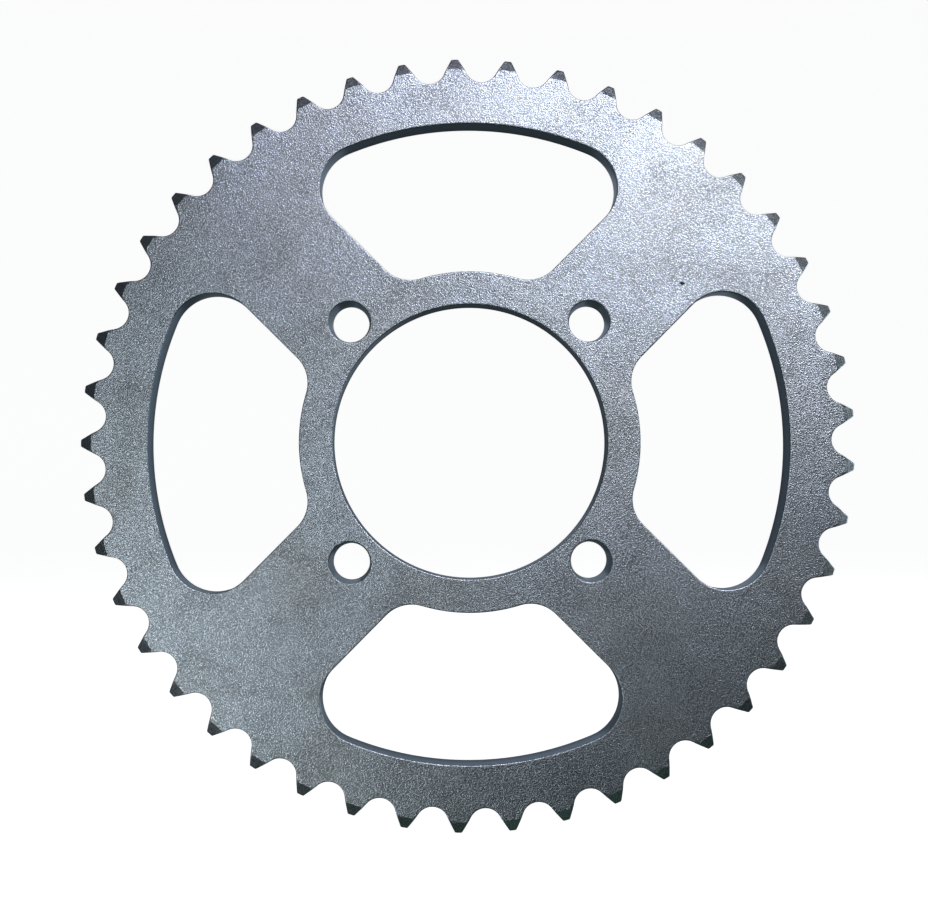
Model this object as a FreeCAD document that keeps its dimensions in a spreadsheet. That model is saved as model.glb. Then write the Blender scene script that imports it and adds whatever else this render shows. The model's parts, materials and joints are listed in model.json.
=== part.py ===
import FreeCAD
import Part
import Sketcher

import math
import os

# Rear sprocket of a motorcycle: one plate stamped from sheet steel.
# The wheel axis is Y, the outer face looks along -Y and +Z is up. The origin is on the axis of the
# bore, half way through the plate, in the plane that the chain runs in.

driving_sizes = [
    # name, millimetres (or degrees, or a count), what it is
    ("ChainPitch", 12.7, "pitch of the chain"),
    ("RollerDiameter", 7.77, "roller of the chain"),
    ("ToothCount", 45, "teeth round the rim"),
    ("SeatFactor", 0.505, "radius of a roller's seat over the roller's diameter"),
    ("FlankAngle", 30, "degrees between a tooth's flank and the middle of the gap"),
    ("TipDiameter", 186.5, "over the tooth tips"),
    ("PlateThickness", 6, "sheet thickness"),
    ("BevelWidth", 2.9, "bevel on the tooth tips, along the radius"),
    ("BevelDepth", 1.5, "bevel on the tooth tips, into each face"),
    ("BoreDiameter", 66, "central bore, which centres the plate on its hub"),
    ("BoltCircle", 81.5, "diameter of the circle through the bolt holes"),
    ("BoltHoleDiameter", 8.8, "bolt holes, where they are narrowest"),
    ("BoltMouthDiameter", 10, "bolt holes at the outer face, where the punch leaves them wider"),
    ("BoltMouthDepth", 4, "how deep a bolt hole narrows"),
    ("SpokeCount", 4, "spokes, bolt holes and windows"),
    ("SpokeWidth", 30, "between two windows"),
    ("HubRingRadius", 41, "inner arc of a window"),
    ("RimRadius", 77, "outer arc of a window"),
    ("HubCornerRadius", 8.5, "corners of a window at the hub ring"),
    ("RimCornerRadius", 10.5, "corners of a window at the rim"),
    ("EdgeBreak", 0.3, "chamfer round the bore, the bolt holes and the windows"),
]

# A sketch's own axes and origin, and the named points of a line or an arc.
h_axis = -1
sketch_origin = (-1, 1)
start = 1
end = 2
centre = 3

doc = FreeCAD.newDocument("RearSprocket")
sheet = doc.addObject("Spreadsheet::Sheet", "Sizes")
for row, (name, value, meaning) in enumerate(driving_sizes, start=1):
    sheet.set(f"A{row}", meaning)
    sheet.set(f"B{row}", str(value))
    sheet.setAlias(f"B{row}", name)
doc.recompute()

body = doc.addObject("PartDesign::Body", "SprocketPlate")
body.Label = "sprocket_plate"
body.Placement = FreeCAD.Placement()


def size(name):
    return float(getattr(sheet, name))


def new_sketch(name, plane_role):
    """A sketch on one of the body's origin planes."""
    plane = next(item for item in body.Origin.OriginFeatures if item.Role == plane_role)
    sketch = body.newObject("Sketcher::SketchObject", name)
    sketch.AttachmentSupport = [(plane, "")]
    sketch.MapMode = "FlatFace"
    return sketch


def constrain(sketch, *constraint):
    return sketch.addConstraint(Sketcher.Constraint(*constraint))


def dimension(sketch, expression, *constraint):
    """A dimension that follows the sizes sheet."""
    index = constrain(sketch, *constraint)
    sketch.setExpression(f"Constraints[{index}]", expression)


def flat(x, y):
    return FreeCAD.Vector(x, y, 0)


def polar(radius, angle):
    return flat(radius * math.cos(angle), radius * math.sin(angle))


def line(sketch, first, second):
    return sketch.addGeometry(Part.LineSegment(first, second))


def arc(sketch, middle, radius, first_angle, last_angle):
    """An arc that runs anticlockwise from the first angle to the last."""
    circle = Part.Circle(middle, FreeCAD.Vector(0, 0, 1), radius)
    return sketch.addGeometry(Part.ArcOfCircle(circle, first_angle, last_angle))


def make_blank():
    """The round blank: a ring turned about Y, bevelled on both faces towards the tooth tips."""
    bore = size("BoreDiameter") / 2
    tip = size("TipDiameter") / 2
    face = size("PlateThickness") / 2
    bevel_start = tip - size("BevelWidth")
    land = face - size("BevelDepth")

    sketch = new_sketch("BlankProfile", "XY_Plane")
    corners = [
        flat(bore, -face),
        flat(bevel_start, -face),
        flat(tip, -land),
        flat(tip, land),
        flat(bevel_start, face),
        flat(bore, face),
    ]
    sides = [line(sketch, a, b) for a, b in zip(corners, corners[1:] + corners[:1])]
    for side, following in zip(sides, sides[1:] + sides[:1]):
        constrain(sketch, "Coincident", side, end, following, start)
    outer_face, outer_bevel, tips, _, inner_face, wall = sides
    constrain(sketch, "Horizontal", outer_face)
    constrain(sketch, "Horizontal", inner_face)
    constrain(sketch, "Equal", outer_face, inner_face)
    constrain(sketch, "Symmetric", wall, start, wall, end, h_axis)
    constrain(sketch, "Symmetric", tips, start, tips, end, h_axis)
    dimension(sketch, "Sizes.PlateThickness", "DistanceY", wall, end, wall, start, 2 * face)
    dimension(sketch, "Sizes.BoreDiameter / 2", "DistanceX", *sketch_origin, wall, start, bore)
    dimension(sketch, "Sizes.TipDiameter / 2", "DistanceX", *sketch_origin, tips, start, tip)
    bevel_ends = (outer_bevel, start, outer_bevel, end)
    dimension(sketch, "Sizes.BevelWidth", "DistanceX", *bevel_ends, tip - bevel_start)
    dimension(sketch, "Sizes.BevelDepth", "DistanceY", *bevel_ends, face - land)

    blank = body.newObject("PartDesign::Revolution", "Blank")
    blank.Profile = sketch
    blank.ReferenceAxis = (sketch, ["V_Axis"])
    blank.Angle = 360
    doc.recompute()
    return blank


def repeat_around(cut, sketch, count_expression):
    """Repeat a cut round the wheel axis, which the cut's sketch stands square to."""
    pattern = body.newObject("PartDesign::PolarPattern", cut.Name + "Pattern")
    pattern.Originals = [cut]
    pattern.Axis = (sketch, ["N_Axis"])
    pattern.Angle = 360
    pattern.setExpression("Occurrences", count_expression)
    body.Tip = pattern
    doc.recompute()
    return pattern


def cut_through(sketch, name, count_expression):
    """Cut a sketch through the whole plate, and repeat the cut."""
    pocket = body.newObject("PartDesign::Pocket", name)
    pocket.Profile = sketch
    pocket.Type = "ThroughAll"
    pocket.Midplane = True
    doc.recompute()
    return repeat_around(pocket, sketch, count_expression)


def cut_tooth_gaps():
    """A gap is the arc that a roller sits in, then a straight flank on each side."""
    pitch_radius = size("ChainPitch") / 2 / math.sin(math.pi / size("ToothCount"))
    seat = size("SeatFactor") * size("RollerDiameter")
    middle = pitch_radius - size("RollerDiameter") / 2 + seat
    lean = math.radians(size("FlankAngle"))
    mouth = size("TipDiameter") / 2 + size("BevelWidth")
    half_arc = math.pi / 2 - lean

    sketch = new_sketch("ToothGapOutline", "XZ_Plane")
    seat_arc = arc(sketch, flat(middle, 0), seat, math.pi - half_arc, math.pi + half_arc)
    flanks = []
    for side in (1, -1):
        inner = flat(middle - seat * math.sin(lean), side * seat * math.cos(lean))
        outer = flat(mouth, inner.y + side * (mouth - inner.x) * math.tan(lean))
        flanks.append(line(sketch, inner, outer))
    upper, lower = flanks
    closing = line(sketch, *(sketch.getPoint(flank, end) for flank in flanks))
    constrain(sketch, "Tangent", seat_arc, start, upper, start)
    constrain(sketch, "Tangent", seat_arc, end, lower, start)
    constrain(sketch, "Coincident", upper, end, closing, start)
    constrain(sketch, "Coincident", lower, end, closing, end)
    constrain(sketch, "PointOnObject", seat_arc, centre, h_axis)
    constrain(sketch, "Symmetric", closing, start, closing, end, h_axis)
    dimension(sketch, "Sizes.SeatFactor * Sizes.RollerDiameter", "Radius", seat_arc, seat)
    to_middle = (
        "Sizes.ChainPitch / 2 / sin(180 deg / Sizes.ToothCount)"
        " + (Sizes.SeatFactor - 0.5) * Sizes.RollerDiameter"
    )
    dimension(sketch, to_middle, "DistanceX", *sketch_origin, seat_arc, centre, middle)
    dimension(sketch, "Sizes.FlankAngle * 1 deg", "Angle", h_axis, start, upper, start, lean)
    to_mouth = "Sizes.TipDiameter / 2 + Sizes.BevelWidth"
    dimension(sketch, to_mouth, "DistanceX", *sketch_origin, closing, start, mouth)
    return cut_through(sketch, "ToothGap", "Sizes.ToothCount")


def cut_windows():
    """A window lies between two spokes. Its ends are arcs about the wheel axis, its sides are
    parallel to the spokes, and each of its corners is an arc tangent to both."""
    rim = size("RimRadius")
    ring = size("HubRingRadius")
    half_spoke = size("SpokeWidth") / 2
    spoke_angle = math.pi / size("SpokeCount")

    def corner(distance, radius):
        """Centre of a corner, that far from the wheel axis and clear of the spoke by its radius."""
        off_spoke = half_spoke + radius
        return polar(distance, spoke_angle - math.asin(off_spoke / distance))

    def angle(point):
        return math.atan2(point.y, point.x)

    def mirrored(point):
        return flat(point.x, -point.y)

    rim_corner = size("RimCornerRadius")
    ring_corner = size("HubCornerRadius")
    at_rim = corner(rim - rim_corner, rim_corner)
    at_ring = corner(ring + ring_corner, ring_corner)
    to_spoke = spoke_angle + math.pi / 2
    side_start = at_rim + polar(rim_corner, to_spoke)
    side_end = at_ring + polar(ring_corner, to_spoke)

    sketch = new_sketch("WindowOutline", "XZ_Plane")
    rim_arc = arc(sketch, flat(0, 0), rim, -angle(at_rim), angle(at_rim))
    upper_rim = arc(sketch, at_rim, rim_corner, angle(at_rim), to_spoke)
    upper_side = line(sketch, side_start, side_end)
    upper_ring = arc(sketch, at_ring, ring_corner, to_spoke, angle(at_ring) + math.pi)
    ring_arc = arc(sketch, flat(0, 0), ring, -angle(at_ring), angle(at_ring))
    lower_ring = arc(sketch, mirrored(at_ring), ring_corner, math.pi - angle(at_ring), -to_spoke)
    lower_side = line(sketch, mirrored(side_end), mirrored(side_start))
    lower_rim = arc(sketch, mirrored(at_rim), rim_corner, -to_spoke, -angle(at_rim))

    joins = [
        (rim_arc, end, upper_rim, start),
        (upper_rim, end, upper_side, start),
        (upper_side, end, upper_ring, start),
        (upper_ring, end, ring_arc, end),
        (ring_arc, start, lower_ring, start),
        (lower_ring, end, lower_side, start),
        (lower_side, end, lower_rim, start),
        (lower_rim, end, rim_arc, start),
    ]
    for join in joins:
        constrain(sketch, "Tangent", *join)
    for about_axis in (rim_arc, ring_arc):
        constrain(sketch, "Coincident", about_axis, centre, *sketch_origin)
    dimension(sketch, "Sizes.RimRadius", "Radius", rim_arc, rim)
    dimension(sketch, "Sizes.HubRingRadius", "Radius", ring_arc, ring)
    for first, second, name, radius in (
        (upper_rim, lower_rim, "Sizes.RimCornerRadius", rim_corner),
        (upper_ring, lower_ring, "Sizes.HubCornerRadius", ring_corner),
    ):
        constrain(sketch, "Equal", first, second)
        dimension(sketch, name, "Radius", first, radius)
    for side in (upper_side, lower_side):
        dimension(sketch, "Sizes.SpokeWidth / 2", "Distance", *sketch_origin, side, half_spoke)
    half_turn = "180 deg / Sizes.SpokeCount"
    dimension(sketch, half_turn, "Angle", h_axis, start, upper_side, end, spoke_angle)
    dimension(sketch, half_turn, "Angle", lower_side, start, h_axis, start, spoke_angle)
    return cut_through(sketch, "Window", "Sizes.SpokeCount")


def cut_bolt_holes():
    """One bolt hole stands in the middle of each spoke, at the hub ring. It is punched from the
    inner face, so it widens towards the outer face, where its sketch lies."""
    sketch = new_sketch("BoltHoleOutline", "XZ_Plane")
    sketch.setExpression("AttachmentOffset.Base.z", "Sizes.PlateThickness / 2")
    circle_radius = size("BoltCircle") / 2
    hole_radius = size("BoltHoleDiameter") / 2
    spoke_angle = math.pi / size("SpokeCount")
    middle = polar(circle_radius, spoke_angle)
    outline = sketch.addGeometry(Part.Circle(middle, FreeCAD.Vector(0, 0, 1), hole_radius))
    spoke = line(sketch, flat(0, 0), middle)
    sketch.setConstruction(spoke, True)
    constrain(sketch, "Coincident", spoke, start, *sketch_origin)
    constrain(sketch, "Coincident", spoke, end, outline, centre)
    dimension(sketch, "Sizes.BoltHoleDiameter / 2", "Radius", outline, hole_radius)
    dimension(sketch, "Sizes.BoltCircle / 2", "Distance", spoke, circle_radius)
    dimension(sketch, "180 deg / Sizes.SpokeCount", "Angle", h_axis, start, spoke, start, spoke_angle)

    hole = body.newObject("PartDesign::Hole", "BoltHole")
    hole.Profile = sketch
    doc.recompute()
    hole.ThreadType = "None"
    hole.DepthType = "ThroughAll"
    hole.setExpression("Diameter", "Sizes.BoltHoleDiameter")
    hole.HoleCutType = "Countersink"
    hole.HoleCutCustomValues = True
    hole.setExpression("HoleCutDiameter", "Sizes.BoltMouthDiameter")
    narrowing = "(Sizes.BoltMouthDiameter - Sizes.BoltHoleDiameter) / 2"
    hole.setExpression("HoleCutCountersinkAngle", f"2 * atan({narrowing} / Sizes.BoltMouthDepth)")
    doc.recompute()
    return repeat_around(hole, sketch, "Sizes.SpokeCount")


def break_edges(cut_plate):
    """A small chamfer where the bore, the bolt holes and the windows meet the two faces."""
    face = size("PlateThickness") / 2
    names = []
    for index, edge in enumerate(cut_plate.Shape.Edges, start=1):
        box = edge.BoundBox
        in_a_face = box.YLength < 0.001 and abs(abs(box.YMin) - face) < 0.001
        reach = max(math.hypot(vertex.X, vertex.Z) for vertex in edge.Vertexes)
        if in_a_face and reach < size("RimRadius") + 0.001:
            names.append(f"Edge{index}")
    chamfer = body.newObject("PartDesign::Chamfer", "EdgeBreaks")
    chamfer.Base = (cut_plate, names)
    chamfer.setExpression("Size", "Sizes.EdgeBreak")
    body.Tip = chamfer
    doc.recompute()
    return chamfer


steps = [make_blank()]
steps.append(cut_bolt_holes())
steps.append(cut_windows())
steps.append(cut_tooth_gaps())
steps.append(break_edges(steps[-1]))

# Every step after the blank has to take material away.
for before, after in zip(steps, steps[1:]):
    if not after.Shape.Volume < before.Shape.Volume - 1:
        raise RuntimeError(f"{after.Name} cut nothing")
for item in doc.Objects:
    if "Invalid" in item.State or "Error" in item.State:
        raise RuntimeError(f"{item.Name} failed: {item.State}")
for item in doc.findObjects("Sketcher::SketchObject"):
    if item.solve() != 0:
        raise RuntimeError(f"{item.Name} has constraints that disagree")
if body.Shape.isNull() or not body.Shape.isValid() or len(body.Shape.Solids) != 1:
    raise RuntimeError("sprocket_plate is not one valid solid")

os.makedirs("parts", exist_ok=True)
body.Shape.exportStep(f"parts/{body.Label}.step")
box = body.Shape.BoundBox
print(f"{body.Label}: {box.XLength:.2f} x {box.YLength:.2f} x {box.ZLength:.2f} mm,"
      f" {body.Shape.Volume / 1000:.2f} cm3")
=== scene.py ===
import json
import math
import bmesh
import bpy
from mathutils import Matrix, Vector


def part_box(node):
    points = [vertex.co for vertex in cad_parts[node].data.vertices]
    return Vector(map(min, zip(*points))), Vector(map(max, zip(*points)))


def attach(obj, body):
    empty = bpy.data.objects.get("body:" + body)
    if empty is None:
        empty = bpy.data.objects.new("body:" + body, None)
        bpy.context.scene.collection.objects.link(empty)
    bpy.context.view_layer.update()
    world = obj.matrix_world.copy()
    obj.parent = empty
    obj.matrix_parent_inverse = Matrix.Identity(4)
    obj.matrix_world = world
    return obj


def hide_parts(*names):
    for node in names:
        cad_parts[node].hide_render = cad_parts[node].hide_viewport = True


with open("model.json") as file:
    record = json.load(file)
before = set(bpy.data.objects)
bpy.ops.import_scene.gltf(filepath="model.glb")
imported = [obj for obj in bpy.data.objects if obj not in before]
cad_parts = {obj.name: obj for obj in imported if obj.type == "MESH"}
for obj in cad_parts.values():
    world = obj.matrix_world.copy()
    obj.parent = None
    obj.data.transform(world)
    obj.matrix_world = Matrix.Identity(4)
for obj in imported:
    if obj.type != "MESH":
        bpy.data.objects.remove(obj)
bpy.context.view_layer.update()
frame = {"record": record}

# Rear sprocket: one stamped steel plate, blasted and zinc plated. The wheel axis is Y, metres throughout.
mm = 0.001
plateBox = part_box("sprocket_plate")
mounts = {mount["name"]: mount for mount in frame["record"]["mounts"]}
print("frame loaded")


class Wire:  # one output socket, with the arithmetic that the trees need
    def __init__(self, tree, socket):
        self.tree = tree
        self.socket = socket

    def maths(self, operation, *others):
        node = self.tree.nodes.new("ShaderNodeMath")
        node.operation = operation
        for slot, value in zip(node.inputs, (self, *others)):
            plug(self.tree, slot, value)
        return Wire(self.tree, node.outputs[0])

    def sibling(self, name):  # another output of the same node
        return Wire(self.tree, self.socket.node.outputs[name])

    def __add__(self, other):
        return self.maths("ADD", other)

    def __sub__(self, other):
        return self.maths("SUBTRACT", other)

    def __mul__(self, other):
        return self.maths("MULTIPLY", other)

    def __truediv__(self, other):
        return self.maths("DIVIDE", other)

    def __lt__(self, other):
        return self.maths("LESS_THAN", other)

    def __gt__(self, other):
        return self.maths("GREATER_THAN", other)

    def __neg__(self):
        return self * -1

    def __rsub__(self, other):
        return self * -1 + other

    __radd__ = __add__
    __rmul__ = __mul__


def plug(tree, slot, value):  # a wire is linked, anything else becomes the socket's own value
    if isinstance(value, Wire):
        tree.links.new(value.socket, slot)
    elif isinstance(value, list):
        for wire in value:
            tree.links.new(wire.socket, slot)
    else:
        slot.default_value = value


class Graph:  # a node tree and the one way to add a node to it
    def __init__(self, tree):
        self.tree = tree

    def add(self, kind, settings=None, values=None, out=0):
        node = self.tree.nodes.new(kind)
        for name, value in (settings or {}).items():
            if name == "stops":
                self.setStops(node.color_ramp, value)
            else:
                setattr(node, name, value)
        for name, value in (values or {}).items():
            plug(self.tree, node.inputs[name], value)
        return Wire(self.tree, node.outputs[out]) if node.outputs else None

    def setStops(self, ramp, stops):
        while len(ramp.elements) < len(stops):
            ramp.elements.new(0.5)
        for element, (place, colour) in zip(ramp.elements, stops):
            element.position = place
            element.color = (*colour, 1)

    def vector(self, x=0.0, y=0.0, z=0.0):
        return self.add("ShaderNodeCombineXYZ", values={"X": x, "Y": y, "Z": z})

    def parts(self, vector):
        apart = self.add("ShaderNodeSeparateXYZ", values={"Vector": vector})
        return [apart.sibling(name) for name in "XYZ"]

    def ramp(self, value, low, high, toLow=0.0, toHigh=1.0):  # clamped Map Range
        values = {"Value": value, "From Min": low, "From Max": high, "To Min": toLow, "To Max": toHigh}
        return self.add("ShaderNodeMapRange", values=values)


zincLook = {
    "tone": (0.84, 0.88, 0.95),  # bright zinc with a blue passivation
    "stainTone": (0.77, 0.78, 0.8),
    "pitShadeTone": (0.07, 0.09, 0.1),
    "grainSize": 0.28 * mm,
    "grainHeight": 0.045 * mm,
    "fineGrainSize": 0.14 * mm,
    "fineShare": 0.3,
    "patchSize": 11 * mm,  # where the blasting bit deeper, and the painted shade in the pits is stronger
    "patchRange": (0.42, 0.66),
    "patchShift": 0.02,
    "patchShadeStrength": 0.15,
    "pitStart": 0.56,  # heights of the grain at which the painted shade of a pit starts and is fully dark
    "pitFull": 0.45,
    "pitShadeStrength": 0.56,
    "stainSize": 22 * mm,
    "stainRange": (0.35, 0.7),
    "roughness": 0.205,
    "stainRoughness": 0.05,
    "pitRoughness": 0.1,
}
dentShadeLook = {  # painted shade of a small dent in the outer face, on the upper right spoke: a dark spot in the colour only, with no dent in the shape
    "place": (51.4 * mm, -3 * mm, 37.9 * mm),
    "size": (1.3 * mm, 1.5 * mm, 0.8 * mm),
    "tone": (0.03, 0.04, 0.045),
    "outside": 1.6,  # reach plus grain where the dent's painted shade starts, and where it is fully dark
    "inside": 1.3,
}
# the cut walls' dark blue tone, far darker than the face's zinc, is painted shade; their streaks are the
# cut's own
shadedWallLook = {
    "tone": (0.21, 0.28, 0.35),
    "stainTone": (0.17, 0.22, 0.27),
    "streakSize": 0.5 * mm,
    "waveSize": 1.6 * mm,
    "stretch": 0.12,  # the streaks run along the wheel axis
    "height": 0.02 * mm,
    "roughness": 0.26,
    "waveRoughness": 0.12,
}


def newMaterial(name):
    material = bpy.data.materials.new(name)
    material.use_nodes = True
    material.node_tree.nodes.clear()
    return material, Graph(material.node_tree)


def finishMaterial(graph, values):
    shader = graph.add("ShaderNodeBsdfPrincipled", values=values)
    graph.add("ShaderNodeOutputMaterial", values={"Surface": shader})


def noise(graph, where, size, detail=2.0, roughness=0.5, distortion=0.0):
    values = {
        "Vector": where,
        "Scale": 1 / size,
        "Detail": detail,
        "Roughness": roughness,
        "Distortion": distortion,
    }
    return graph.add("ShaderNodeTexNoise", {"noise_dimensions": "3D"}, values)


def mixTone(graph, factor, first, second):
    first, second = (tone if isinstance(tone, Wire) else (*tone, 1) for tone in (first, second))
    values = {0: factor, 6: first, 7: second}  # the colour sockets, whose names the number sockets share
    return graph.add("ShaderNodeMix", {"data_type": "RGBA"}, values, out=2)


# grain is how much of the pebbling is left, and worn is added to the roughness
def zincFinish(name, grain, look, worn=0.0):
    _, graph = newMaterial(name)
    where = graph.add("ShaderNodeTexCoord", out=3)
    pebbles = noise(graph, where, look["grainSize"], 1.0, 0.5, 0.3)
    fine = noise(graph, where, look["fineGrainSize"], 1.0, 0.5)
    patches = graph.ramp(noise(graph, where, look["patchSize"], 3.0, 0.6), *look["patchRange"])
    height = graph.ramp(pebbles, 0.3, 0.7) * 0.8 + fine * look["fineShare"]
    values = {"Strength": 1.0, "Distance": look["grainHeight"] * grain, "Height": height}
    bump = graph.add("ShaderNodeBump", values=values)
    stain = graph.ramp(noise(graph, where, look["stainSize"], 3.0), *look["stainRange"])
    depth = pebbles * (1 - look["fineShare"]) + fine * look["fineShare"]
    shift = patches * look["patchShift"]
    # the pits are the hollows of the grain, painted dark as painted shade, more so in the patches; the
    # pits are also rougher
    pitsWithShade = graph.ramp(depth, shift + look["pitStart"], shift + look["pitFull"])
    tone = mixTone(graph, stain, look["tone"], look["stainTone"])
    paintedPitShade = pitsWithShade * (patches * look["patchShadeStrength"] + look["pitShadeStrength"])
    tone = mixTone(graph, paintedPitShade, tone, look["pitShadeTone"])

    # how far a spot lies from the middle of the dent's painted shade, which is 1 at its edge
    reach = tuple(2 / size for size in dentShadeLook["size"])
    start = tuple(-place * scale for place, scale in zip(dentShadeLook["place"], reach))
    mapping = {"Vector": where, "Location": start, "Scale": reach}
    fromDentShade = graph.add("ShaderNodeMapping", {"vector_type": "POINT"}, mapping)
    length = {"operation": "LENGTH"}
    fromDentShade = graph.add("ShaderNodeVectorMath", length, {"Vector": fromDentShade}, out="Value")
    paintedDentShade = graph.ramp(fromDentShade + pebbles, dentShadeLook["outside"], dentShadeLook["inside"])
    tone = mixTone(graph, paintedDentShade, tone, dentShadeLook["tone"])

    roughness = stain * look["stainRoughness"] + pitsWithShade * look["pitRoughness"] + (look["roughness"] + worn)
    finishMaterial(graph, {"Base Color": tone, "Metallic": 1.0, "Roughness": roughness, "Normal": bump})


def wallFinishAndShade(name, look):  # the cut walls are smooth, with faint streaks along the punch's way, and a dark blue tone that is painted shade
    _, graph = newMaterial(name)
    where = graph.add("ShaderNodeTexCoord", out=3)
    mapping = {"Vector": where, "Scale": (1, look["stretch"], 1)}
    along = graph.add("ShaderNodeMapping", {"vector_type": "POINT"}, mapping)
    streaks = noise(graph, along, look["streakSize"], 2.0, 0.5)
    waves = noise(graph, where, look["waveSize"], 2.0)
    height = streaks * 0.5 + waves * 0.5
    values = {"Strength": 1.0, "Distance": look["height"], "Height": height}
    bump = graph.add("ShaderNodeBump", values=values)
    tone = mixTone(graph, graph.ramp(streaks, 0.3, 0.7) * 0.5, look["tone"], look["stainTone"])
    roughness = look["roughness"] + waves * look["waveRoughness"]
    finishMaterial(graph, {"Base Color": tone, "Metallic": 1.0, "Roughness": roughness, "Normal": bump})


zincFinish("zincFace", 1.0, zincLook)
zincFinish("zincBevel", 0.8, zincLook, 0.08)
wallFinishAndShade("zincWallAndShade", shadedWallLook)
print("finishes made")


plateSizes = {
    "Chain pitch": 12.7 * mm,
    "Roller diameter": 7.77 * mm,
    "Seat factor": 0.505,  # seat radius over roller diameter
    "Flank angle": math.radians(30),  # between a flank and the middle of its gap
    "Tip radius": 93.25 * mm,
    "Tip rounding": 0.6 * mm,  # how soon the flank blends into the tip
    "Corner before": math.radians(0.14),  # the stretch round a tip's corner that gets its own points
    "Corner after": math.radians(0.2),
    "Half thickness": (plateBox[1][1] - plateBox[0][1]) / 2,
    "Bevel width": 2.9 * mm,
    "Bevel depth": 1.5 * mm,
    "Bore radius": mounts["hub_bore"]["dims"]["r_mm"] * mm,
    "Bolt circle radius": mounts["hub_bolts"]["dims"]["pcd_mm"] / 2 * mm,
    "Bolt hole radius": mounts["hub_bolts"]["dims"]["hole_r_mm"] * mm,
    "Bolt mouth radius": 5 * mm,  # the punch left the holes wider at the outer face
    "Bolt waist radius": 4.55 * mm,  # half way through
    "Spoke width": 30 * mm,
    "Hub ring radius": 41 * mm,
    "Rim radius": 77 * mm,
    "Hub corner radius": 8.5 * mm,
    "Rim corner radius": 10.5 * mm,
    "Outer edge radius": 0.28 * mm,  # rounding left by the blasting on the outer face
    "Inner edge radius": 0.2 * mm,
    "Edge band": 0.45 * mm,  # flat strip kept beside each rounded edge
    "Crease angle": math.radians(24),  # an edge as sharp as this isn't shaded smoothly
}
plateCounts = {
    "teeth": 45,
    "spokes": 4,
    "seatPoints": 12,  # along half a gap: in the seat, on the flank, round the tip corner, on the tip
    "flankPoints": 4,
    "cornerPoints": 5,
    "tipPoints": 2,
    "edgeSteps": 5,
    "bevelRows": 2,
    "rootRows": 3,  # rows of faces under the bevel, which carry the tooth outline down to a plain circle
    "rimArc": 72,  # points along each arc of a window
    "hubArc": 24,
    "rimCorner": 24,
    "hubCorner": 14,
    "bore": 240,
    "boltHole": 56,
}
finishLimits = {"bevel": 0.8, "wall": 0.6}  # how much of a face points along the wheel axis
closeness = {"samePlace": 0.002 * mm, "onCircle": 0.001 * mm, "lastRow": 0.06 * mm}
print("sizes set")


def holeOutline(graph, radius, points):
    return graph.add(
        "GeometryNodeCurvePrimitiveCircle", {"mode": "RADIUS"}, {"Resolution": points, "Radius": radius}
    )


def ring(graph, points, order):  # loose points joined round into one closed curve
    curve = graph.add("GeometryNodePointsToCurves", values={"Points": points, "Weight": order})
    return graph.add("GeometryNodeSetSplineCyclic", values={"Geometry": curve, "Cyclic": True})


def mergeClose(graph, geometry, distance=closeness["samePlace"], selection=True):
    values = {"Geometry": geometry, "Distance": distance, "Selection": selection}
    return graph.add("GeometryNodeMergeByDistance", values=values)


def join(graph, pieces):
    return graph.add("GeometryNodeJoinGeometry", values={"Geometry": pieces})


def moved(graph, geometry, shift=(0, 0, 0), scale=(1, 1, 1), rotation=(0, 0, 0)):
    values = {"Geometry": geometry, "Translation": shift, "Scale": scale, "Rotation": rotation}
    return graph.add("GeometryNodeTransform", values=values)


def around(graph, geometry, count, firstAngle=0.0):  # copies turned about the wheel axis
    points = graph.add("GeometryNodePoints", values={"Count": count})
    turn = graph.add("GeometryNodeInputIndex") * (2 * math.pi / count) + firstAngle
    values = {"Points": points, "Instance": geometry, "Rotation": graph.vector(0.0, 0.0, turn)}
    copies = graph.add("GeometryNodeInstanceOnPoints", values=values)
    return graph.add("GeometryNodeRealizeInstances", values={"Geometry": copies})


# a closed curve round all the teeth, anticlockwise from the middle of a gap
def toothOutline(graph, given):
    halfPitch = math.pi / plateCounts["teeth"]
    lean = plateSizes["Flank angle"]
    counts = [plateCounts[name] for name in ("seatPoints", "flankPoints", "cornerPoints", "tipPoints")]
    perHalf = sum(counts)
    seat = given["Seat factor"] * given["Roller diameter"]
    middle = given["Chain pitch"] / (2 * math.sin(halfPitch)) - given["Roller diameter"] * 0.5 + seat
    flankAim = seat - middle * math.sin(lean)

    # the angles, from the middle of the gap, at which the seat, the flank and the corner end
    seatEnd = (seat * math.cos(lean)).maths("ARCTAN2", middle - seat * math.sin(lean))
    flankMeetsTip = lean + (flankAim / given["Tip radius"]).maths("ARCSINE")
    cornerStart = flankMeetsTip - given["Corner before"]
    cornerEnd = flankMeetsTip + given["Corner after"]
    ends = [seatEnd, cornerStart, cornerEnd, halfPitch]

    index = graph.add("GeometryNodeInputIndex")
    tooth = index.maths("DIVIDE", 2 * perHalf).maths("FLOOR")
    step = index - tooth * (2 * perHalf)
    side = (step > perHalf) * 1.0
    fromGap = step + side * (2 * perHalf - step * 2)
    angle = 0.0
    previousEnd = 0.0
    passed = 0
    for count, stretchEnd in zip(counts, ends):
        angle = angle + graph.ramp(fromGap, passed, passed + count) * (stretchEnd - previousEnd)
        previousEnd = stretchEnd
        passed += count
    offCentre = middle * angle.maths("SINE")
    seatRadius = middle * angle.maths("COSINE") - (seat * seat - offCentre * offCentre).maths("SQRT")
    flankRadius = flankAim / (angle - lean).maths("SINE")
    inSeat = angle < seatEnd
    radius = flankRadius + (seatRadius - flankRadius) * inSeat
    radius = radius.maths("SMOOTH_MIN", given["Tip radius"], given["Tip rounding"])
    turn = (tooth + side) * (2 * halfPitch) + angle * (1 - side * 2)
    circle = holeOutline(graph, given["Tip radius"], 2 * perHalf * plateCounts["teeth"])
    place = graph.vector(radius * turn.maths("COSINE"), radius * turn.maths("SINE"))
    return graph.add("GeometryNodeSetPosition", values={"Geometry": circle, "Position": place})


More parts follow.
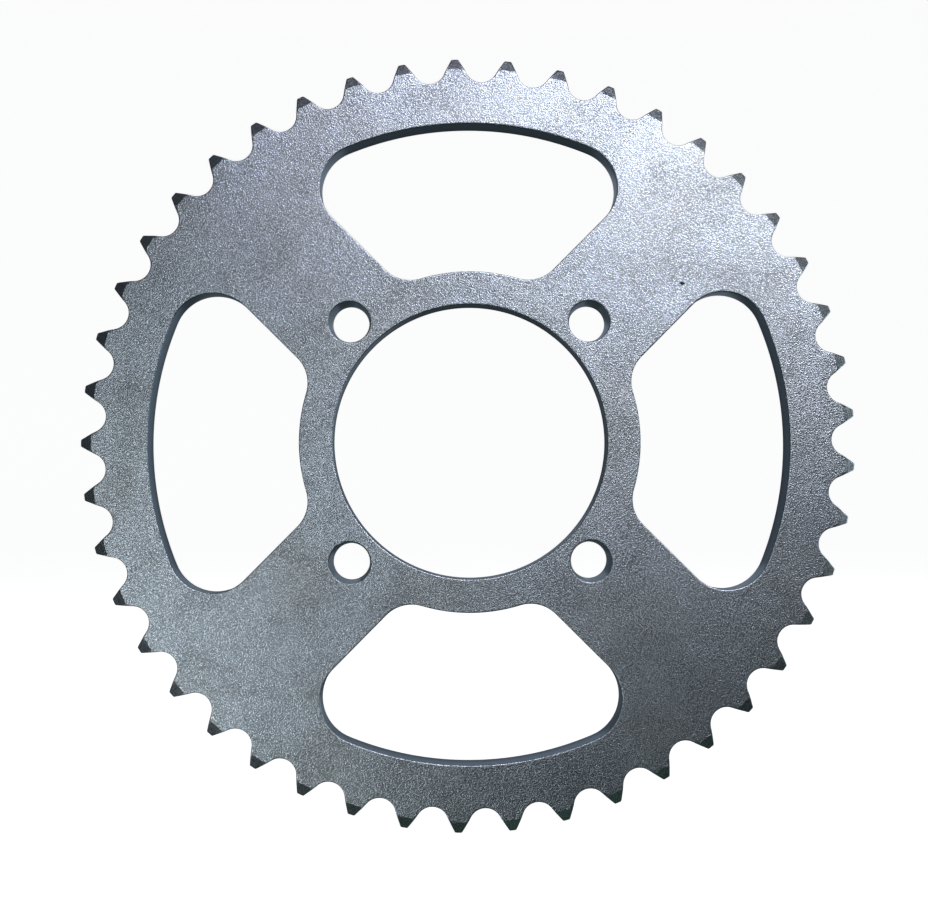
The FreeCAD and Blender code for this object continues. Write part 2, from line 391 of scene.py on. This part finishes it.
# the window on +X: two arcs about the wheel axis, and two sides along the spokes
def windowOutline(graph, given):
    spokeAngle = math.pi / plateCounts["spokes"]
    halfSpoke = given["Spoke width"] * 0.5

    def corner(distance, radius):
        angle = spokeAngle - ((halfSpoke + radius) / distance).maths("ARCSINE")
        return distance * angle.maths("COSINE"), distance * angle.maths("SINE"), angle

    def arc(x, y, radius, first, sweep, points):
        curve = graph.add(
            "GeometryNodeCurveArc",
            {"mode": "RADIUS"},
            {"Resolution": points, "Radius": radius, "Start Angle": first, "Sweep Angle": sweep},
        )
        return moved(graph, curve, graph.vector(x, y))

    rimCorner = given["Rim corner radius"]
    hubCorner = given["Hub corner radius"]
    rimX, rimY, rimAngle = corner(given["Rim radius"] - rimCorner, rimCorner)
    hubX, hubY, hubAngle = corner(given["Hub ring radius"] + hubCorner, hubCorner)
    toSpoke = spokeAngle + math.pi / 2
    arcs = [
        arc(0.0, 0.0, given["Rim radius"], -rimAngle, rimAngle * 2, plateCounts["rimArc"]),
        arc(0.0, 0.0, given["Hub ring radius"], -hubAngle, hubAngle * 2, plateCounts["hubArc"]),
    ]
    for side in (1, -1):
        sweep = (toSpoke - rimAngle) * side
        arcs.append(arc(rimX, rimY * side, rimCorner, rimAngle * side, sweep, plateCounts["rimCorner"]))
        sweep = (hubAngle + math.pi - toSpoke) * side
        arcs.append(arc(hubX, hubY * side, hubCorner, toSpoke * side, sweep, plateCounts["hubCorner"]))
    points = graph.add("GeometryNodeCurveToPoints", {"mode": "EVALUATED"}, {"Curve": join(graph, arcs)})
    points = mergeClose(graph, points)
    x, y, _ = graph.parts(graph.add("GeometryNodeInputPosition"))
    inner = (given["Rim radius"] + given["Hub ring radius"]) * 0.5
    order = y.maths("ARCTAN2", x - inner)
    return ring(graph, points, order)


# half of the wall, the rounded edge, then a flat strip of the face
def edgeProfile(graph, given, edgeRadius):
    steps = plateCounts["edgeSteps"]
    line = graph.add("GeometryNodeCurvePrimitiveLine")
    line = graph.add("GeometryNodeResampleCurve", values={"Curve": line, "Count": steps + 3})
    index = graph.add("GeometryNodeInputIndex")
    turn = graph.ramp(index, 1, 1 + steps, 0, math.pi / 2)
    onFace = index > 1.5 + steps
    x = edgeRadius * (turn.maths("COSINE") - 1) - (given["Edge band"] - edgeRadius) * onFace
    y = (given["Half thickness"] - edgeRadius * (1 - turn.maths("SINE"))) * (index > 0.5)
    return graph.add("GeometryNodeSetPosition", values={"Geometry": line, "Position": graph.vector(x, -y)})


def halfPlate(graph, given, outlines, edgeRadius):  # from the middle plane up to one face
    profile = edgeProfile(graph, given, edgeRadius)
    edges = {
        name: graph.add("GeometryNodeCurveToMesh", values={"Curve": curve, "Profile Curve": profile})
        for name, curve in outlines.items()
    }
    x, y, z = graph.parts(graph.add("GeometryNodeInputPosition"))
    waist = given["Bolt waist radius"] / (x * x + y * y).maths("SQRT")
    values = {
        "Geometry": edges["bolt hole"],
        "Selection": z < given["Half thickness"] * 0.25,  # the row in the middle plane
        "Position": graph.vector(x * waist, y * waist, z),
    }
    edges["bolt hole"] = graph.add("GeometryNodeSetPosition", values=values)
    edges["window"] = around(graph, edges["window"], plateCounts["spokes"])
    shifted = moved(graph, edges["bolt hole"], graph.vector(given["Bolt circle radius"]))
    edges["bolt hole"] = around(graph, shifted, plateCounts["spokes"], math.pi / plateCounts["spokes"])

    # rows of faces under the teeth, each one stopped at a circle, down to a plain circle below the roots
    def faceBoundary():  # the open edges at the height of the face
        alone = graph.add("GeometryNodeInputMeshEdgeNeighbors") < 1.5
        height = graph.parts(graph.add("GeometryNodeInputPosition"))[2]
        return alone * (height > given["Half thickness"] * 0.75)

    rim = edges["teeth"]
    rowDepth = given["Bevel width"] / plateCounts["bevelRows"]
    selection = faceBoundary()
    for row in range(plateCounts["bevelRows"] + plateCounts["rootRows"]):
        values = {"Mesh": rim, "Selection": selection, "Offset Scale": 0.0}
        extruded = graph.add("GeometryNodeExtrudeMesh", {"mode": "EDGES"}, values)
        selection = extruded.sibling("Top")
        x, y, z = graph.parts(graph.add("GeometryNodeInputPosition"))
        distance = (x * x + y * y).maths("SQRT")
        stop = given["Tip radius"] - rowDepth * (row + 1)
        shrink = distance.maths("MINIMUM", stop) / distance
        place = graph.vector(x * shrink, y * shrink, z)
        values = {"Geometry": extruded, "Selection": selection, "Position": place}
        rim = graph.add("GeometryNodeSetPosition", values=values)
    x, y, z = graph.parts(graph.add("GeometryNodeInputPosition"))
    onLastCircle = (x * x + y * y).maths("SQRT") < stop + closeness["onCircle"]
    onLastRow = onLastCircle * (z > given["Half thickness"] * 0.75)
    edges["teeth"] = mergeClose(graph, rim, closeness["lastRow"], onLastRow)

    allEdges = mergeClose(graph, join(graph, list(edges.values())))
    border = graph.add("GeometryNodeMeshToCurve", values={"Mesh": allEdges, "Selection": faceBoundary()})
    face = graph.add("GeometryNodeFillCurve", {"mode": "TRIANGLES"}, {"Curve": border})
    face = moved(graph, face, graph.vector(0.0, 0.0, given["Half thickness"]))
    return mergeClose(graph, join(graph, [allEdges, face]))


def platePattern():
    tree = bpy.data.node_groups.new("stampedSprocket", "GeometryNodeTree")
    tree.interface.new_socket("Geometry", in_out="OUTPUT", socket_type="NodeSocketGeometry")
    for name, value in plateSizes.items():
        socket = tree.interface.new_socket(name, in_out="INPUT", socket_type="NodeSocketFloat")
        socket.default_value = value
    graph = Graph(tree)
    source = graph.add("NodeGroupInput")
    given = {name: source.sibling(name) for name in plateSizes}

    outlines = {
        "teeth": toothOutline(graph, given),
        "window": windowOutline(graph, given),
        "bore": holeOutline(graph, given["Bore radius"], plateCounts["bore"]),
        "bolt mouth": holeOutline(graph, given["Bolt mouth radius"], plateCounts["boltHole"]),
        "bolt end": holeOutline(graph, given["Bolt hole radius"], plateCounts["boltHole"]),
    }
    for name in list(outlines)[1:]:  # turned round, so that the plate lies on the same side
        outlines[name] = graph.add("GeometryNodeReverseCurve", values={"Curve": outlines[name]})
    common = {name: outlines[name] for name in ("teeth", "window", "bore")}
    outerLines = {**common, "bolt hole": outlines["bolt mouth"]}
    innerLines = {**common, "bolt hole": outlines["bolt end"]}
    outerHalf = halfPlate(graph, given, outerLines, given["Outer edge radius"])
    innerHalf = halfPlate(graph, given, innerLines, given["Inner edge radius"])
    innerHalf = moved(graph, innerHalf, scale=(1, 1, -1))
    innerHalf = graph.add("GeometryNodeFlipFaces", values={"Mesh": innerHalf})
    plate = mergeClose(graph, join(graph, [outerHalf, innerHalf]))

    # the bevel: towards the tips the plate gets thinner
    x, y, z = graph.parts(graph.add("GeometryNodeInputPosition"))
    distance = (x * x + y * y).maths("SQRT")
    beyond = distance - (given["Tip radius"] - given["Bevel width"])
    cut = beyond.maths("MAXIMUM", 0.0) * (given["Bevel depth"] / given["Bevel width"])
    thinned = z * (1 - cut / given["Half thickness"])
    values = {"Geometry": plate, "Position": graph.vector(x, y, thinned)}
    plate = graph.add("GeometryNodeSetPosition", values=values)

    # rounded edges shade smoothly, and only the crease of the bevel stays sharp
    plate = graph.add("GeometryNodeSetShadeSmooth", {"domain": "FACE"}, {"Geometry": plate})
    crease = graph.add("GeometryNodeInputMeshEdgeAngle") > given["Crease angle"]
    values = {"Geometry": plate, "Selection": crease, "Shade Smooth": False}
    plate = graph.add("GeometryNodeSetShadeSmooth", {"domain": "EDGE"}, values)

    # stood up on its rim; the bevels have a finish of their own, and the cut walls a darker material with
    # painted shade
    plate = moved(graph, plate, rotation=(math.pi / 2, 0, 0))
    plate = graph.add("GeometryNodeRealizeInstances", values={"Geometry": plate})
    x, y, z = graph.parts(graph.add("GeometryNodeInputPosition"))
    beyond = (x * x + z * z).maths("SQRT") > given["Tip radius"] - given["Bevel width"]
    facing = graph.parts(graph.add("GeometryNodeInputNormal"))[1].maths("ABSOLUTE")
    finishes = [
        ("zincFace", True),
        ("zincBevel", beyond * (facing > finishLimits["bevel"])),
        ("zincWallAndShade", facing < finishLimits["wall"]),
    ]
    for name, selection in finishes:
        values = {"Geometry": plate, "Selection": selection, "Material": bpy.data.materials[name]}
        plate = graph.add("GeometryNodeSetMaterial", values=values)
    graph.add("NodeGroupOutput", values={0: plate})
    return tree


def buildPlate():
    mesh = bpy.data.meshes.new("sprocketBlank")
    holder = bpy.data.objects.new("sprocketBlank", mesh)
    bpy.context.scene.collection.objects.link(holder)
    tree = platePattern()
    modifier = holder.modifiers.new("stampedSprocket", "NODES")
    modifier.node_group = tree
    for item in tree.interface.items_tree:
        if item.in_out == "INPUT":
            modifier[item.identifier] = plateSizes[item.name]
    evaluated = holder.evaluated_get(bpy.context.evaluated_depsgraph_get())
    mesh = bpy.data.meshes.new_from_object(evaluated)
    bpy.data.objects.remove(holder)
    mesh.materials.pop(index=0)  # the empty slot that new geometry starts with
    shell = bmesh.new()
    shell.from_mesh(mesh)
    bmesh.ops.recalc_face_normals(shell, faces=shell.faces)
    shell.to_mesh(mesh)
    shell.free()
    plate = bpy.data.objects.new("zincPlatedSprocket", mesh)
    bpy.context.scene.collection.objects.link(plate)
    return plate


plate = buildPlate()
print("plate", len(plate.data.vertices), "vertices", len(plate.data.polygons), "faces")

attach(plate, "root")
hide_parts("sprocket_plate")


viewPoint = {
    "eye": (-6.0 * mm, -273 * mm, -11.7 * mm),
    "aim": (-1.5 * mm, -3 * mm, -2.1 * mm),
    "roll": math.radians(0.3),
    "lens": 43.78,
    "clip": (0.01, 20),
}


def makeCamera(look):
    data = bpy.data.cameras.new("camera")
    data.lens = look["lens"]
    data.clip_start, data.clip_end = look["clip"]
    camera = bpy.data.objects.new("camera", data)
    bpy.context.scene.collection.objects.link(camera)
    camera.location = look["eye"]
    turn = (Vector(look["aim"]) - Vector(look["eye"])).to_track_quat("-Z", "Y")
    camera.rotation_euler = turn.to_euler()
    camera.rotation_euler.rotate_axis("Z", -look["roll"])
    bpy.context.scene.camera = camera


makeCamera(viewPoint)


floorLook = {"radius": 1.6, "rise": 1.4, "riseSteps": 16, "turns": 96, "tone": 0.5, "glow": 0.95}


def makeFloor(look):  # a round floor that curves up all round into a pale wall
    bottom = plateBox[0][2]
    shell = bmesh.new()
    turns = look["turns"]
    profile = [(look["radius"] * 0.5, 0.0), (look["radius"], 0.0)]
    for step in range(1, look["riseSteps"] + 1):
        angle = step / look["riseSteps"] * math.pi / 2
        outward = look["radius"] + look["rise"] * math.sin(angle)
        profile.append((outward, look["rise"] * (1 - math.cos(angle))))
    circles = []
    for radius, height in profile:
        circle = []
        for turn in range(turns):
            angle = 2 * math.pi * turn / turns
            place = (radius * math.cos(angle), radius * math.sin(angle), bottom + height)
            circle.append(shell.verts.new(place))
        circles.append(circle)
    centre = shell.verts.new((0, 0, bottom))
    for turn in range(turns):
        after = (turn + 1) % turns
        shell.faces.new((centre, circles[0][turn], circles[0][after]))
        for low, high in zip(circles, circles[1:]):
            shell.faces.new((low[turn], high[turn], high[after], low[after]))
    mesh = bpy.data.meshes.new("floor")
    shell.to_mesh(mesh)
    shell.free()
    mesh.shade_smooth()
    floor = bpy.data.objects.new("floor", mesh)
    bpy.context.scene.collection.objects.link(floor)
    material, graph = newMaterial("paleFloor")
    tone = (*(look["tone"],) * 3, 1)
    glow = {"Emission Color": (1, 1, 1, 1), "Emission Strength": look["glow"]}
    finishMaterial(graph, {"Base Color": tone, "Roughness": 1.0, **glow})
    mesh.materials.append(material)
    floor.visible_glossy = False
    floor.visible_diffuse = False
    floor.visible_shadow = False


makeFloor(floorLook)


lamps = {  # tilt is off the wheel axis, on the outer face's side, and turn is anticlockwise from +X
    "key": {"tilt": 45, "turn": 48, "size": 0.35, "power": 1.4, "tone": (0.87, 0.92, 1.0)},
    "top": {"tilt": 45, "turn": 85, "size": 0.35, "power": 1.2, "tone": (0.82, 0.85, 1.0)},
    "front": {"tilt": 12, "turn": 45, "size": 0.3, "power": 0.24, "tone": (0.87, 0.92, 1.0)},
    "left": {"tilt": 22, "turn": 185, "size": 0.25, "power": 0.2, "tone": (0.84, 0.95, 1.0)},
    "lower left": {"tilt": 40, "turn": 222, "size": 0.3, "power": 0.5, "tone": (0.88, 0.98, 1.0)},
    "below": {"tilt": 65, "turn": 285, "size": 0.6, "power": 0.05, "tone": (0.4, 1.0, 0.65)},
    "right rim": {"tilt": 110, "turn": 0, "size": 0.6, "power": 1.3, "tone": (0.8, 0.95, 1.0)},
    "behind, right": {"tilt": 150, "turn": 0, "size": 0.6, "power": 0.25, "tone": (0.8, 0.9, 1.0)},
    "behind, top": {"tilt": 150, "turn": 90, "size": 0.6, "power": 0.37, "tone": (0.8, 0.9, 1.0)},
    "behind, left": {"tilt": 150, "turn": 180, "size": 0.6, "power": 0.12, "tone": (0.8, 0.9, 1.0)},
    "behind, below": {"tilt": 150, "turn": 270, "size": 0.6, "power": 0.07, "tone": (0.8, 0.95, 1.0)},
}
lampDistance = 0.7


def makeLamps():
    for name, lamp in lamps.items():
        data = bpy.data.lights.new(name, "AREA")
        data.shape = "DISK"
        data.size = lamp["size"]
        data.energy = lamp["power"]
        data.color = lamp["tone"]
        light = bpy.data.objects.new(name, data)
        bpy.context.scene.collection.objects.link(light)
        tilt, turn = math.radians(lamp["tilt"]), math.radians(lamp["turn"])
        out = Vector((math.sin(tilt) * math.cos(turn), -math.cos(tilt), math.sin(tilt) * math.sin(turn)))
        light.location = out * lampDistance
        light.rotation_euler = (-out).to_track_quat("-Z", "Y").to_euler()


skyLook = {
    "below": (0.008, 0.012, 0.012),
    "level": (0.014, 0.018, 0.02),
    "above": (0.03, 0.035, 0.045),
    "room": (0.97, 0.97, 0.97),  # what the camera sees behind the lights
}


def makeSky(look):
    world = bpy.data.worlds.new("studio")
    bpy.context.scene.world = world
    world.use_nodes = True
    world.node_tree.nodes.clear()
    graph = Graph(world.node_tree)
    direction = graph.add("ShaderNodeTexCoord", out=0)
    up = graph.parts(direction)[2]
    stops = [(0.0, look["below"]), (0.5, look["level"]), (1.0, look["above"])]
    tone = graph.add("ShaderNodeValToRGB", {"stops": stops}, {"Fac": up * 0.5 + 0.5})
    seen = graph.add("ShaderNodeLightPath")
    tone = mixTone(graph, seen, tone, look["room"])
    background = graph.add("ShaderNodeBackground", values={"Color": tone})
    graph.add("ShaderNodeOutputWorld", values={"Surface": background})


makeSky(skyLook)
makeLamps()
bpy.context.scene.view_settings.view_transform = "Standard"
print("camera, floor and light set")
